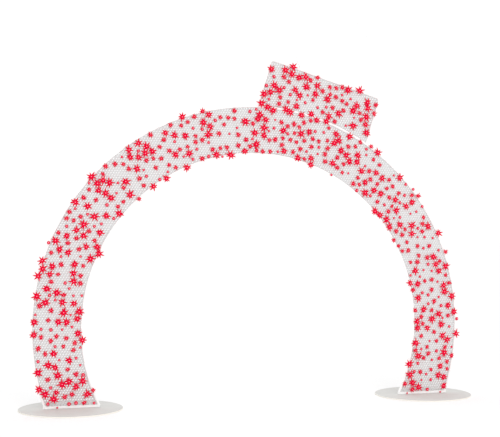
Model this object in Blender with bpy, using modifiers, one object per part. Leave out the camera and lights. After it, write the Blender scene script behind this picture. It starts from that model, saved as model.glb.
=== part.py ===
"""Lighted walk-through archway, outlined like a Christmas bauble with a tilted cap and a hanging loop.

A horseshoe-shaped band of net is stretched between an outer and an inner white tube, the cap is a
rectangle of the same net in a tube frame, and starburst lights are clipped to both. The arch stands
on two round base plates. X runs across the arch, -Y is the front, +Z is up, and the origin is on the
floor under the middle of the arch. Lengths are in metres.
"""

import math
import random

import bmesh
import bpy
from mathutils import Matrix, Vector

# Cloth: the net's own edges, measured from the ring's centre
CLOTH_OUTER_RADIUS = 2.200
CLOTH_INNER_RADIUS = 1.745
CLOTH_THICKNESS = 0.002

# Frame
TUBE_RADIUS = 0.0125
BAR_SIZE = 0.025
BAR_EDGE = 0.003
RING_CENTRE_HEIGHT = 0.770
GAP = 0.0003

# Base plates
PLATE_RADIUS = 0.500
PLATE_THICKNESS = 0.012
PLATE_EDGE = 0.003
PLATE_SPREAD = 1.837

# Cap and hanging loop, along an axis through the ring's centre that leans towards +X
CAP_TILT = math.radians(16.9)
CAP_WIDTH = 1.206
CAP_TOP = 2.620
CAP_BEND_RADIUS = 0.030
LOOP_RADIUS = 0.406
LOOP_REACH = 2.939

# Lights
BAND_LIGHTS = 40
CAP_LIGHTS = 8
LIGHT_REACHES = (0.050, 0.056, 0.062)
LIGHT_RAYS = 8
LIGHT_NOTCH_RADIUS = 0.015
LIGHT_DEPTH = 0.014
SOCKET_RADIUS = 0.009
SOCKET_SIDES = 6
SOCKET_LENGTH = 0.016
SOCKET_BITE = 0.004
LIGHT_EDGE_MARGIN = 0.050
CAP_LIGHT_MARGIN = 0.085
TUBE_LIGHT_EVERY = 5
FOOT_LIGHT_SPACINGS = 0.8
LIGHT_SEED = 7

# Fineness
OUTER_STEPS = 96
INNER_STEPS = 84
LOOP_STEPS = 44
BEND_STEPS = 5
TUBE_BEVEL_RESOLUTION = 4
PLATE_STEPS = 72
MERGE_DISTANCE = 0.00001
SHARP_ANGLE = math.radians(35)

# Sizes that follow from those above
RING_CENTRE = Vector((0.0, 0.0, RING_CENTRE_HEIGHT))
OUTER_TUBE_RADIUS = CLOTH_OUTER_RADIUS + GAP + TUBE_RADIUS
INNER_TUBE_RADIUS = CLOTH_INNER_RADIUS - GAP - TUBE_RADIUS
BAR_BOTTOM = PLATE_THICKNESS + GAP
FOOT_LEVEL = BAR_BOTTOM + BAR_SIZE + GAP
CAP_TUBE_SIDE = CAP_WIDTH / 2 + GAP + TUBE_RADIUS
CAP_TUBE_TOP = CAP_TOP + GAP + TUBE_RADIUS
CAP_FOOT_RADIUS = OUTER_TUBE_RADIUS + TUBE_RADIUS + GAP
GOLDEN_SHARE = (math.sqrt(5) - 1) / 2


def clear_scene():
    """Removes what the scene holds."""
    for old in list(bpy.data.objects):
        bpy.data.objects.remove(old)


def new_collection(name):
    """A collection linked to the scene."""
    collection = bpy.data.collections.new(name)
    bpy.context.scene.collection.children.link(collection)
    return collection


def new_material(name, colour, roughness, metallic=0.0):
    """A Principled material with a plain colour."""
    material = bpy.data.materials.new(name)
    material.use_nodes = True
    shader = material.node_tree.nodes["Principled BSDF"]
    shader.inputs["Base Color"].default_value = (*colour, 1.0)
    shader.inputs["Roughness"].default_value = roughness
    shader.inputs["Metallic"].default_value = metallic
    return material


def place(name, mesh, collection, material=None):
    """An object of that mesh in a collection."""
    thing = bpy.data.objects.new(name, mesh)
    if material is not None and not mesh.materials:
        mesh.materials.append(material)
    collection.objects.link(thing)
    return thing


def place_cutter(name, mesh):
    """A cutter that only shapes its neighbours."""
    cutter = place(name, mesh, CUTTERS)
    cutter.hide_render = True
    cutter.display_type = "WIRE"
    return cutter


def cut(thing, cutter, operation="DIFFERENCE"):
    """Adds a Boolean modifier that takes the cutter away from a thing, or joins the two."""
    boolean = thing.modifiers.new(cutter.name, "BOOLEAN")
    boolean.operation = operation
    boolean.object = cutter
    return thing


def mesh_of(source):
    """The evaluated mesh of an object, in world space, with loose caps welded. The object goes."""
    bpy.context.view_layer.update()
    evaluated = source.evaluated_get(bpy.context.evaluated_depsgraph_get())
    mesh = bpy.data.meshes.new_from_object(evaluated)
    mesh.transform(source.matrix_world)
    work = bmesh.new()
    work.from_mesh(mesh)
    bmesh.ops.remove_doubles(work, verts=work.verts, dist=MERGE_DISTANCE)
    bmesh.ops.recalc_face_normals(work, faces=work.faces)
    work.to_mesh(mesh)
    work.free()
    bpy.data.objects.remove(source)
    return mesh


def tube_mesh(points, radius):
    """A round tube with filled ends along a line of points."""
    curve = bpy.data.curves.new("tube", "CURVE")
    curve.dimensions = "3D"
    curve.bevel_depth = radius
    curve.bevel_resolution = TUBE_BEVEL_RESOLUTION
    curve.use_fill_caps = True
    spline = curve.splines.new("POLY")
    spline.points.add(len(points) - 1)
    for control, point in zip(spline.points, points):
        control.co = (*point, 1.0)
    mesh = mesh_of(place("tube", curve, CUTTERS))
    shade_round(mesh)
    return mesh


def sheet_mesh(outline):
    """A flat sheet of the cloth's thickness that fills an outline in the XZ plane."""
    curve = bpy.data.curves.new("sheet", "CURVE")
    curve.dimensions = "2D"
    curve.fill_mode = "BOTH"
    curve.extrude = CLOTH_THICKNESS / 2
    spline = curve.splines.new("POLY")
    spline.use_cyclic_u = True
    spline.points.add(len(outline) - 1)
    for control, point in zip(spline.points, outline):
        control.co = (point.x, point.z, 0.0, 1.0)
    sheet = place("sheet", curve, CUTTERS)
    sheet.matrix_world = Matrix.Rotation(math.pi / 2, 4, "X")
    return mesh_of(sheet)


def box_mesh(low, high):
    """A box between two corners."""
    work = bmesh.new()
    bmesh.ops.create_cube(work, size=1.0)
    size = Vector(high) - Vector(low)
    bmesh.ops.scale(work, vec=size, verts=work.verts)
    bmesh.ops.translate(work, vec=Vector(low) + size / 2, verts=work.verts)
    mesh = bpy.data.meshes.new("box")
    work.to_mesh(mesh)
    work.free()
    return mesh


def cone_mesh(name, low_radius, high_radius, depth, sides):
    """A capped cone or cylinder about Z, centred on the origin."""
    work = bmesh.new()
    bmesh.ops.create_cone(
        work, cap_ends=True, segments=sides, radius1=low_radius, radius2=high_radius, depth=depth
    )
    mesh = bpy.data.meshes.new(name)
    work.to_mesh(mesh)
    work.free()
    return mesh


def below_foot_level():
    """A wide box from under the foot bars up to where the tubes and the net end."""
    reach = CLOTH_OUTER_RADIUS * 2
    return box_mesh((-reach, -PLATE_RADIUS, -PLATE_RADIUS), (reach, PLATE_RADIUS, FOOT_LEVEL))


def ring_point(radius, angle):
    """A point of the arch's plane at a radius and an angle from +X about the ring's centre."""
    return RING_CENTRE + radius * Vector((math.cos(angle), 0.0, math.sin(angle)))


def cap_point(side, reach):
    """A point of the arch's plane from its place across and along the cap's axis."""
    across = Vector((math.cos(CAP_TILT), 0.0, -math.sin(CAP_TILT)))
    along = Vector((math.sin(CAP_TILT), 0.0, math.cos(CAP_TILT)))
    return RING_CENTRE + side * across + reach * along


def foot_angle(radius, level=FOOT_LEVEL):
    """How far below the horizontal a circle about the ring's centre meets a level."""
    return math.asin((RING_CENTRE_HEIGHT - level) / radius)


def ring_angles(radius, steps, level=FOOT_LEVEL):
    """Evenly spaced angles from the left foot over the top to the right foot."""
    foot = foot_angle(radius, level)
    sweep = math.pi + 2 * foot
    return [math.pi + foot - sweep * step / steps for step in range(steps + 1)]


def ring_tube_points(radius, steps):
    """The centreline of a ring tube, run down past its foot level, where it is cut off flat."""
    return [ring_point(radius, angle) for angle in ring_angles(radius, steps, BAR_BOTTOM)]


def cap_edge_points(inset):
    """A line round the cap from left to right, an inset inside the centreline of its tube."""
    corner_radius = CAP_BEND_RADIUS - inset
    points = []
    for side, first in ((-1, math.pi), (1, math.pi / 2)):
        centre_side = side * (CAP_TUBE_SIDE - CAP_BEND_RADIUS)
        centre_reach = CAP_TUBE_TOP - CAP_BEND_RADIUS
        for step in range(BEND_STEPS + 1):
            angle = first - math.pi / 2 * step / BEND_STEPS
            corner_side = centre_side + corner_radius * math.cos(angle)
            points.append(cap_point(corner_side, centre_reach + corner_radius * math.sin(angle)))
    return points


def cap_frame_points():
    """The centreline of the cap's tube: up one side, across the top, down the other side."""
    foot_reach = ring_reach(OUTER_TUBE_RADIUS, CAP_TUBE_SIDE)
    left_foot = cap_point(-CAP_TUBE_SIDE, foot_reach)
    right_foot = cap_point(CAP_TUBE_SIDE, foot_reach)
    return [left_foot, *cap_edge_points(0.0), right_foot]


def ring_reach(radius, side):
    """How far along the cap's axis a circle about the ring's centre lies, at a place across."""
    return math.sqrt(radius**2 - side**2)


def loop_points():
    """The centreline of the hanging loop, from the cap's top tube round and back to it."""
    drop = math.asin((LOOP_REACH - CAP_TUBE_TOP) / LOOP_RADIUS)
    sweep = math.pi + 2 * drop
    points = []
    for step in range(LOOP_STEPS + 1):
        angle = math.pi + drop - sweep * step / LOOP_STEPS
        side = LOOP_RADIUS * math.cos(angle)
        points.append(cap_point(side, LOOP_REACH + LOOP_RADIUS * math.sin(angle)))
    return points


def band_outline():
    """The arch net's outline: over the outer edge, across a foot, and back along the inner edge."""
    outer = [
        ring_point(CLOTH_OUTER_RADIUS, angle)
        for angle in ring_angles(OUTER_TUBE_RADIUS, OUTER_STEPS, BAR_BOTTOM)
    ]
    inner = [
        ring_point(CLOTH_INNER_RADIUS, angle)
        for angle in ring_angles(INNER_TUBE_RADIUS, INNER_STEPS, BAR_BOTTOM)
    ]
    return outer + inner[::-1]


def cap_outline():
    """The cap net's outline, a rectangle whose lower edge follows the ring's outer tube."""
    side = CAP_WIDTH / 2
    cap_direction = math.pi / 2 - CAP_TILT
    spread = math.asin(side / CAP_FOOT_RADIUS)
    arc = [
        ring_point(CAP_FOOT_RADIUS, angle)
        for angle in ring_angles(OUTER_TUBE_RADIUS, OUTER_STEPS, BAR_BOTTOM)
        if abs(angle - cap_direction) < spread
    ]
    corner_reach = ring_reach(CAP_FOOT_RADIUS, side)
    left_corner = cap_point(-side, corner_reach)
    right_corner = cap_point(side, corner_reach)
    return [*cap_edge_points(TUBE_RADIUS + GAP)[::-1], left_corner, *arc, right_corner]


def build_frame(material):
    """The white tubes: both ring tubes, the foot bars, the cap's frame and the hanging loop."""
    floor_box = place_cutter("below_feet", below_foot_level())
    outer_points = ring_tube_points(OUTER_TUBE_RADIUS, OUTER_STEPS)
    inner_points = ring_tube_points(INNER_TUBE_RADIUS, INNER_STEPS)
    cut(place("outer_tube", tube_mesh(outer_points, TUBE_RADIUS), ARCH, material), floor_box)
    cut(place("inner_tube", tube_mesh(inner_points, TUBE_RADIUS), ARCH, material), floor_box)

    ring_seat = place_cutter("ring_seat", tube_mesh(outer_points, TUBE_RADIUS + GAP))
    cap_points = cap_frame_points()
    cut(place("cap_frame", tube_mesh(cap_points, TUBE_RADIUS), ARCH, material), ring_seat)

    cap_seat = place_cutter("cap_seat", tube_mesh(cap_points, TUBE_RADIUS + GAP))
    cut(place("hanging_loop", tube_mesh(loop_points(), TUBE_RADIUS), ARCH, material), cap_seat)

    for name, side in (("left", -1), ("right", 1)):
        build_foot_bar(f"foot_bar_{name}", side, material)


def build_foot_bar(name, side, material):
    """A square bar that closes one foot and lies on its base plate, with softened edges."""
    outer_foot = foot_angle(OUTER_TUBE_RADIUS)
    inner_foot = foot_angle(INNER_TUBE_RADIUS)
    outer_end = OUTER_TUBE_RADIUS * math.cos(outer_foot) + TUBE_RADIUS / math.cos(outer_foot)
    inner_end = INNER_TUBE_RADIUS * math.cos(inner_foot) - TUBE_RADIUS / math.cos(inner_foot)
    ends = sorted((side * inner_end, side * outer_end))
    low = (ends[0], -BAR_SIZE / 2, BAR_BOTTOM)
    high = (ends[1], BAR_SIZE / 2, BAR_BOTTOM + BAR_SIZE)
    bar = place(name, box_mesh(low, high), ARCH, material)
    soften(bar, BAR_EDGE)


def soften(thing, width):
    """Rounds a thing's edges with a Bevel modifier."""
    bevel = thing.modifiers.new("rounded_edges", "BEVEL")
    bevel.width = width
    bevel.segments = 2
    bevel.limit_method = "ANGLE"


def shade_round(mesh):
    """Shades a round piece smooth and keeps its real edges sharp."""
    mesh.shade_smooth()
    mesh.set_sharp_from_angle(angle=SHARP_ANGLE)


def build_plates(material):
    """The two round base plates on the floor, each with a rounded rim."""
    for name, side in (("left", -1), ("right", 1)):
        mesh = cone_mesh("plate", PLATE_RADIUS, PLATE_RADIUS, PLATE_THICKNESS, PLATE_STEPS)
        shade_round(mesh)
        plate = place(f"base_plate_{name}", mesh, ARCH, material)
        plate.location = (side * PLATE_SPREAD, 0.0, PLATE_THICKNESS / 2)
        soften(plate, PLATE_EDGE)


def build_nets(material):
    """The stretched net of the arch and of the cap, each one flat sheet between its tubes."""
    arch_net = place("arch_net", sheet_mesh(band_outline()), ARCH, material)
    cut(arch_net, place_cutter("below_net", below_foot_level()))
    place("cap_net", sheet_mesh(cap_outline()), ARCH, material)


def star_mesh(reach):
    """A pointed star that faces +Z: a low cone with every other rim corner pulled in to a notch."""
    mesh = cone_mesh("star", reach, 0.0, LIGHT_DEPTH, 2 * LIGHT_RAYS)
    rim = [corner for corner in mesh.vertices if corner.co.xy.length > reach / 2]
    rim.sort(key=lambda corner: math.atan2(corner.co.y, corner.co.x))
    for corner in rim[::2]:
        corner.co.xy *= LIGHT_NOTCH_RADIUS / reach
    mesh.transform(Matrix.Translation((0.0, 0.0, SOCKET_LENGTH + LIGHT_DEPTH / 2)))
    return mesh


def light_mesh(reach, material):
    """A starburst light that faces -Y: a star on a short socket whose foot is at the origin."""
    socket_length = SOCKET_LENGTH + SOCKET_BITE
    socket_mesh = cone_mesh("socket", SOCKET_RADIUS, SOCKET_RADIUS, socket_length, SOCKET_SIDES)
    socket_mesh.transform(Matrix.Translation((0.0, 0.0, socket_length / 2)))
    light = place("light", star_mesh(reach), CUTTERS)
    socket = place_cutter("socket", socket_mesh)
    cut(light, socket, "UNION")
    light.matrix_world = Matrix.Rotation(math.pi / 2, 4, "X")
    socket.matrix_world = light.matrix_world
    mesh = mesh_of(light)
    bpy.data.objects.remove(socket)
    mesh.materials.clear()
    mesh.materials.append(material)
    return mesh


def band_light_sites():
    """Sites along the arch: on the net, with one in five on each of its two tubes."""
    foot = foot_angle(INNER_TUBE_RADIUS)
    spacing = (math.pi + 2 * foot) / (BAND_LIGHTS - 1 + 2 * FOOT_LIGHT_SPACINGS)
    low = CLOTH_INNER_RADIUS + LIGHT_EDGE_MARGIN
    spread = CLOTH_OUTER_RADIUS - LIGHT_EDGE_MARGIN - low
    sites = []
    for count in range(BAND_LIGHTS):
        angle = math.pi + foot - spacing * (count + FOOT_LIGHT_SPACINGS)
        if count % TUBE_LIGHT_EVERY == 1:
            sites.append((ring_point(OUTER_TUBE_RADIUS, angle), TUBE_RADIUS))
        elif count % TUBE_LIGHT_EVERY == 3:
            sites.append((ring_point(INNER_TUBE_RADIUS, angle), TUBE_RADIUS))
        else:
            radius = low + spread * ((count * GOLDEN_SHARE) % 1.0)
            sites.append((ring_point(radius, angle), CLOTH_THICKNESS / 2))
    return sites


def cap_light_sites():
    """Sites across the cap: on the net, and one on its top tube each side of the loop."""
    low = CAP_FOOT_RADIUS + CAP_LIGHT_MARGIN
    spread = CAP_TOP - LIGHT_EDGE_MARGIN - low
    sites = []
    for count in range(CAP_LIGHTS):
        side = CAP_WIDTH * ((count + 0.5) / CAP_LIGHTS - 0.5)
        if count in (1, CAP_LIGHTS - 2):
            sites.append((cap_point(side, CAP_TUBE_TOP), TUBE_RADIUS))
        else:
            reach = low + spread * ((count * GOLDEN_SHARE) % 1.0)
            sites.append((cap_point(side, reach), CLOTH_THICKNESS / 2))
    return sites


def build_lights(material):
    """The largest lights, clipped to the front of the nets and tubes and turned at random."""
    turns = random.Random(LIGHT_SEED)
    meshes = [light_mesh(reach, material) for reach in LIGHT_REACHES]
    for count, (site, half_depth) in enumerate(band_light_sites() + cap_light_sites(), start=1):
        light = place(f"light_{count:02d}", turns.choice(meshes), ARCH)
        light.location = site - Vector((0.0, half_depth + GAP, 0.0))
        light.rotation_euler = (0.0, turns.uniform(0.0, math.tau), 0.0)


clear_scene()
ARCH = new_collection("lighted_archway")
CUTTERS = new_collection("cutters")
build_frame(new_material("white_tube", (0.90, 0.90, 0.89), 0.35))
build_plates(new_material("base_plate", (0.70, 0.69, 0.67), 0.55))
build_nets(new_material("net", (0.74, 0.73, 0.72), 0.80))
build_lights(new_material("red_light", (0.86, 0.01, 0.06), 0.30))
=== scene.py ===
"""Looks of the lighted archway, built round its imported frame.

The arch is a horseshoe of open net stretched between two white tubes, with a tilted cap, a hanging
loop, two round base plates and some five hundred red starburst lights. Everything is in metres:
+X runs across the arch, -Y is its front and +Z is up.
"""

import logging
import math
import random
from collections.abc import Callable, Sequence
from dataclasses import dataclass, field
from enum import Enum
from functools import cached_property
from typing import Any

import bpy
import numpy as np
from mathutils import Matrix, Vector


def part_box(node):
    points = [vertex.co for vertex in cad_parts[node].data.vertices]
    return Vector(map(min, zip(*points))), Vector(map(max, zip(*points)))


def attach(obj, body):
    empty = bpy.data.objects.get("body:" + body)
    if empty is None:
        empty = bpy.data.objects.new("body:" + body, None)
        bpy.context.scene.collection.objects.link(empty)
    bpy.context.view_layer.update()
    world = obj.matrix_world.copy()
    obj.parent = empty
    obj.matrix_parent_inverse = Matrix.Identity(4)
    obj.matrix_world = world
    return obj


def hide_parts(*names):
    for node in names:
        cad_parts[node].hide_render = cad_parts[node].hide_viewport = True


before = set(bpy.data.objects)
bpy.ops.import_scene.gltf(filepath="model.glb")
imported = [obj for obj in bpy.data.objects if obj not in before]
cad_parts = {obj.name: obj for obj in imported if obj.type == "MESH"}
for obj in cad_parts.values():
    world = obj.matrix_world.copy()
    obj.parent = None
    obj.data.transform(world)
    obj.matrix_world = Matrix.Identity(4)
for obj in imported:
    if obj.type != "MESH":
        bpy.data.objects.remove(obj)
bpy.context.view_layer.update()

LOG = logging.getLogger("archway")
BODY = "root"

Colour = tuple[float, float, float]
Line = np.ndarray
Face = tuple[int, ...]
Cell = tuple[int, int]
Knot = tuple[int, int, int]
Seat = tuple[np.ndarray, float]


class Slot(Enum):
    """The names of the record's material slots for the pieces made here."""

    TUBE = "white_tube"
    NET = "net"
    LIGHT = "red_light"


class LightKind(Enum):
    """The three sizes of light, from a full starburst to a bare dot."""

    STAR = "star"
    BUTTON = "button"
    DOT = "dot"


class Look(Enum):
    """The places of a light's materials on its mesh."""

    PLASTIC = 0
    DOME = 1
    STEM = 2
    FROSTED = 3


@dataclass(frozen=True)
class Noise:
    """Soft noise: its lumps to a metre, its finer layers and, where set, what becomes 0 and 1."""

    scale: float
    detail: float
    limits: tuple[float, float] | None = None


class Value:
    """A number or colour in a shader, whose operators add Math nodes."""

    def __init__(self, graph: "ShaderGraph", socket: bpy.types.NodeSocket) -> None:
        """Wraps an output socket of a node in a graph."""
        self.graph = graph
        self.socket = socket

    def _math(self, operation: str, first: "Value | float", second: "Value | float") -> "Value":
        """The result of a Math node on two numbers."""
        return self.graph.node("ShaderNodeMath", {"operation": operation}, {0: first, 1: second})

    def __add__(self, other: "Value | float") -> "Value":
        """The sum of this and another value."""
        return self._math("ADD", self, other)

    def __sub__(self, other: "Value | float") -> "Value":
        """This value less another."""
        return self._math("SUBTRACT", self, other)

    def __rsub__(self, other: float) -> "Value":
        """A number less this value."""
        return self._math("SUBTRACT", other, self)

    def __mul__(self, other: "Value | float") -> "Value":
        """The product of this and another value."""
        return self._math("MULTIPLY", self, other)

    __radd__ = __add__
    __rmul__ = __mul__

    def over(self, edge: float) -> "Value":
        """One where this value is greater than an edge, and zero elsewhere."""
        return self._math("GREATER_THAN", self, edge)


class ShaderGraph:
    """A material's node tree, with a Principled shader at its end."""

    # The places of a Mix node's two colour inputs and of its colour output.
    MIX_COLOURS = (6, 7)
    MIX_RESULT = 2

    def __init__(self, name: str) -> None:
        """Starts a material.

        Args:
            name: The material's name.
        """
        self.material = bpy.data.materials.new(name)
        self.material.use_nodes = True
        self.tree = self.material.node_tree
        self.shader = self.tree.nodes["Principled BSDF"]

    def node(
        self,
        kind: str,
        settings: dict[str, Any] | None = None,
        values: dict[str | int, Any] | None = None,
        output: str | int = 0,
    ) -> Value:
        """Adds a node of any type.

        Args:
            kind: The node's type.
            settings: Its own settings, such as an operation, which are set first.
            values: Numbers, colours or links for its sockets, by name or place.
            output: The name or place of the output that is wanted.

        Returns:
            The wanted output.
        """
        made = self.tree.nodes.new(kind)
        for name, setting in (settings or {}).items():
            setattr(made, name, setting)
        for name, value in (values or {}).items():
            self._feed(made.inputs[name], value)
        return Value(self, made.outputs[output])

    def _feed(self, socket: bpy.types.NodeSocket, value: Any) -> None:
        """Links a value to a socket, or sets the socket's own number or colour.

        Args:
            socket: The input socket.
            value: A value of the graph, a number, or the red, green and blue of a colour.
        """
        if isinstance(value, Value):
            self.tree.links.new(value.socket, socket)
        elif isinstance(value, tuple) and socket.type == "RGBA":
            socket.default_value = (*value, 1.0)
        else:
            socket.default_value = value

    def noise(self, kind: Noise) -> Value:
        """Reads soft noise at the shaded point's place on its object.

        Args:
            kind: Its scale, detail and limits.

        Returns:
            The noise, from 0 to 1.
        """
        place = self.node("ShaderNodeTexCoord", output="Object")
        values = {"Vector": place, "Scale": kind.scale, "Detail": kind.detail}
        made = self.node("ShaderNodeTexNoise", values=values, output="Fac")
        if kind.limits is None:
            return made
        low, high = kind.limits
        return self.node("ShaderNodeMapRange", values={"Value": made, "From Min": low, "From Max": high})

    def mix(self, share: Value, low: Value | Colour, high: Value | Colour) -> Value:
        """A mix of two colours, with a share of the second."""
        values = dict(zip((0, *self.MIX_COLOURS), (share, low, high)))
        return self.node("ShaderNodeMix", {"data_type": "RGBA"}, values, self.MIX_RESULT)

    def attribute(self, name: str) -> Value:
        """A number that the mesh holds for each of its corners."""
        return self.node("ShaderNodeAttribute", {"attribute_name": name}, output="Fac")

    def bump(self, height: Value, depth: float, strength: float) -> Value:
        """A normal tilted by a height from 0 to 1, whose 1 is a depth in metres, at a strength."""
        values = {"Height": height, "Distance": depth, "Strength": strength}
        return self.node("ShaderNodeBump", values=values)

    def finish(self, **sockets: Any) -> bpy.types.Material:
        """Sets the Principled shader's sockets.

        Args:
            sockets: Values by socket name, in lower case with _ for each space.

        Returns:
            The finished material.
        """
        names = {socket.name.lower().replace(" ", "_"): socket for socket in self.shader.inputs}
        for name, value in sockets.items():
            self._feed(names[name], value)
        return self.material

    def finish_lit(self, **sockets: Any) -> bpy.types.Material:
        """Sets the sockets of a shader that glows, but that lights nothing as a lamp of its own.

        Args:
            sockets: Values by socket name, as for finish.

        Returns:
            The finished material.
        """
        material = self.finish(**sockets)
        material.cycles.emission_sampling = "NONE"
        return material


@dataclass(frozen=True)
class PowderCoat:
    """White powder coat on the tubes and foot bars: satin, with a faint orange peel."""

    colour: Colour = (0.93, 0.93, 0.925)
    dusty: Colour = (0.89, 0.885, 0.875)
    dust: Noise = Noise(scale=9.0, detail=6.0, limits=(0.45, 0.85))
    roughness: float = 0.34
    dust_roughness: float = 0.14
    peel: Noise = Noise(scale=420.0, detail=1.0)
    peel_depth: float = 0.00012
    peel_strength: float = 0.5

    def build(self) -> bpy.types.Material:
        """Makes the material.

        Returns:
            The material.
        """
        graph = ShaderGraph("white_powder_coat")
        dust = graph.noise(self.dust)
        peel = graph.noise(self.peel)
        return graph.finish(
            base_color=graph.mix(dust, self.colour, self.dusty),
            roughness=dust * self.dust_roughness + self.roughness,
            normal=graph.bump(peel, self.peel_depth, self.peel_strength),
        )


@dataclass(frozen=True)
class PlateCoat:
    """Pale grey textured coat on the base plates, cream on the rim, where the faces don't turn up."""

    colour: Colour = (0.684, 0.678, 0.659)
    scuffed: Colour = (0.649, 0.643, 0.624)
    rim: Colour = (0.88, 0.85, 0.78)
    flat_from: float = 0.6
    scuff: Noise = Noise(scale=5.0, detail=8.0, limits=(0.48, 0.75))
    roughness: float = 0.62
    scuff_roughness: float = 0.1
    shine: float = 0.1
    grain: Noise = Noise(scale=700.0, detail=2.0)
    grain_depth: float = 0.00025
    grain_strength: float = 0.6

    def build(self) -> bpy.types.Material:
        """Makes the material.

        Returns:
            The material.
        """
        graph = ShaderGraph("grey_plate_coat")
        normal = graph.node("ShaderNodeTexCoord", output="Normal")
        up = graph.node("ShaderNodeSeparateXYZ", values={"Vector": normal}, output="Z")
        scuffs = graph.noise(self.scuff)
        top = graph.mix(scuffs, self.colour, self.scuffed)
        grain = graph.noise(self.grain)
        return graph.finish(
            # Faces that turn up take the grey top colour, and the rest of the rim is cream.
            base_color=graph.mix(up.over(self.flat_from), self.rim, top),
            roughness=scuffs * self.scuff_roughness + self.roughness,
            specular_ior_level=self.shine,
            normal=graph.bump(grain, self.grain_depth, self.grain_strength),
        )


@dataclass(frozen=True)
class NetFinish:
    """Pale grey coated cord of the net, with fine fibres and slight shade from cord to cord."""

    colour: Colour = (0.66, 0.66, 0.66)
    darker: Colour = (0.615, 0.615, 0.615)
    roughness: float = 0.72
    sheen: float = 0.15
    shade: Noise = Noise(scale=38.0, detail=4.0, limits=(0.35, 0.7))
    fibre: Noise = Noise(scale=900.0, detail=3.0)
    fibre_share: float = 0.4
    fibre_depth: float = 0.0004
    fibre_strength: float = 0.7

    def build(self) -> bpy.types.Material:
        """Makes the material.

        Returns:
            The material.
        """
        graph = ShaderGraph("grey_net_cord")
        shade = graph.noise(self.shade)
        fibre = graph.noise(self.fibre)
        tone = shade * (1.0 - self.fibre_share) + fibre * self.fibre_share
        return graph.finish(
            base_color=graph.mix(tone, self.colour, self.darker),
            roughness=self.roughness,
            sheen_weight=self.sheen,
            normal=graph.bump(fibre, self.fibre_depth, self.fibre_strength),
        )


@dataclass(frozen=True)
class GlowPlastic:
    """Red moulded plastic that is lit from its middle and fades a little towards its tips."""

    deep: Colour = (0.40, 0.0005, 0.012)
    bright: Colour = (0.46, 0.001, 0.016)
    glow_deep: Colour = (0.28, 0.0005, 0.016)
    glow_bright: Colour = (0.38, 0.001, 0.024)
    glow_strength: float = 1.0
    roughness: float = 0.45
    shine: float = 0.03

    def build(self) -> bpy.types.Material:
        """Makes the material.

        Returns:
            The material.
        """
        graph = ShaderGraph("red_glow_plastic")
        glow = graph.attribute(LightMesh.GLOW)
        return graph.finish_lit(
            base_color=graph.mix(glow, self.deep, self.bright),
            roughness=self.roughness,
            specular_ior_level=self.shine,
            emission_color=graph.mix(glow, self.glow_deep, self.glow_bright),
            emission_strength=self.glow_strength,
        )


@dataclass(frozen=True)
class FrostedPlastic:
    """Paler, frosted red plastic of the small round lights."""

    rim: Colour = (0.47, 0.006, 0.028)
    crown: Colour = (0.49, 0.024, 0.055)
    glow: Colour = (0.35, 0.014, 0.034)
    glow_strength: float = 1.0
    roughness: float = 0.5
    shine: float = 0.1

    def build(self) -> bpy.types.Material:
        """Makes the material.

        Returns:
            The material.
        """
        graph = ShaderGraph("frosted_red_plastic")
        lit = graph.attribute(LightMesh.GLOW)
        return graph.finish_lit(
            base_color=graph.mix(lit, self.rim, self.crown),
            roughness=self.roughness,
            specular_ior_level=self.shine,
            emission_color=self.glow,
            emission_strength=self.glow_strength,
        )


@dataclass(frozen=True)
class LedDome:
    """The pale lit dome in the middle of a light."""

    colour: Colour = (0.62, 0.13, 0.18)
    glow: Colour = (0.95, 0.58, 0.62)
    glow_strength: float = 0.7
    roughness: float = 0.25

    def build(self) -> bpy.types.Material:
        """Makes the material.

        Returns:
            The material.
        """
        graph = ShaderGraph("pale_led_dome")
        lit = graph.attribute(LightMesh.GLOW)
        return graph.finish_lit(
            base_color=self.colour,
            roughness=self.roughness,
            emission_color=graph.mix(lit, self.colour, self.glow),
            emission_strength=self.glow_strength,
        )


@dataclass(frozen=True)
class StemPlastic:
    """Milky plastic of the stem that a light is clipped on with."""

    colour: Colour = (0.82, 0.80, 0.79)
    shade: Colour = (0.74, 0.70, 0.69)
    mottle: Noise = Noise(scale=160.0, detail=2.0)
    roughness: float = 0.45

    def build(self) -> bpy.types.Material:
        """Makes the material.

        Returns:
            The material.
        """
        graph = ShaderGraph("milky_stem_plastic")
        colour = graph.mix(graph.noise(self.mottle), self.colour, self.shade)
        return graph.finish(base_color=colour, roughness=self.roughness)


@dataclass(frozen=True)
class FloorPaper:
    """Plain pale studio floor."""

    colour: Colour = (0.97, 0.97, 0.97)
    roughness: float = 0.9
    shine: float = 0.0

    def build(self) -> bpy.types.Material:
        """Makes the material."""
        graph = ShaderGraph("studio_floor")
        return graph.finish(base_color=self.colour, roughness=self.roughness, specular_ior_level=self.shine)


def dress_node(name: str, material: bpy.types.Material) -> None:
    """Gives a CAD node that stays another material.

    Args:
        name: The node's name.
        material: Its material.
    """
    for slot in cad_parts[name].material_slots:
        slot.material = material
    LOG.info("%s: %s", name, material.name)


def turns(sides: int) -> np.ndarray:
    """The angles of a round ring's corners, in radians."""
    return np.arange(sides) * (2 * math.pi / sides)


def ring_faces(rings: int, sides: int, flipped: bool = False, joined: bool = False) -> list[Face]:
    """Works out the faces of a closed body whose corners stand in rings, one ring after the other.

    Args:
        rings: How many rings there are.
        sides: How many corners each ring has.
        flipped: Whether its faces turn the other way.
        joined: Whether the last ring runs on into the first, so that the body has no end faces.

    Returns:
        The corners of each face.
    """
    faces = []
    for ring in range(rings if joined else rings - 1):
        low, high = ring * sides, (ring + 1) % rings * sides
        for side in range(sides):
            following = (side + 1) % sides
            face = (low + side, low + following, high + following, high + side)
            faces.append((face[0], *face[:0:-1]) if flipped else face)
    if not joined:
        ends = (tuple(range(sides))[::-1], tuple(range((rings - 1) * sides, rings * sides)))
        faces.extend(end[::-1] if flipped else end for end in ends)
    return faces


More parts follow.
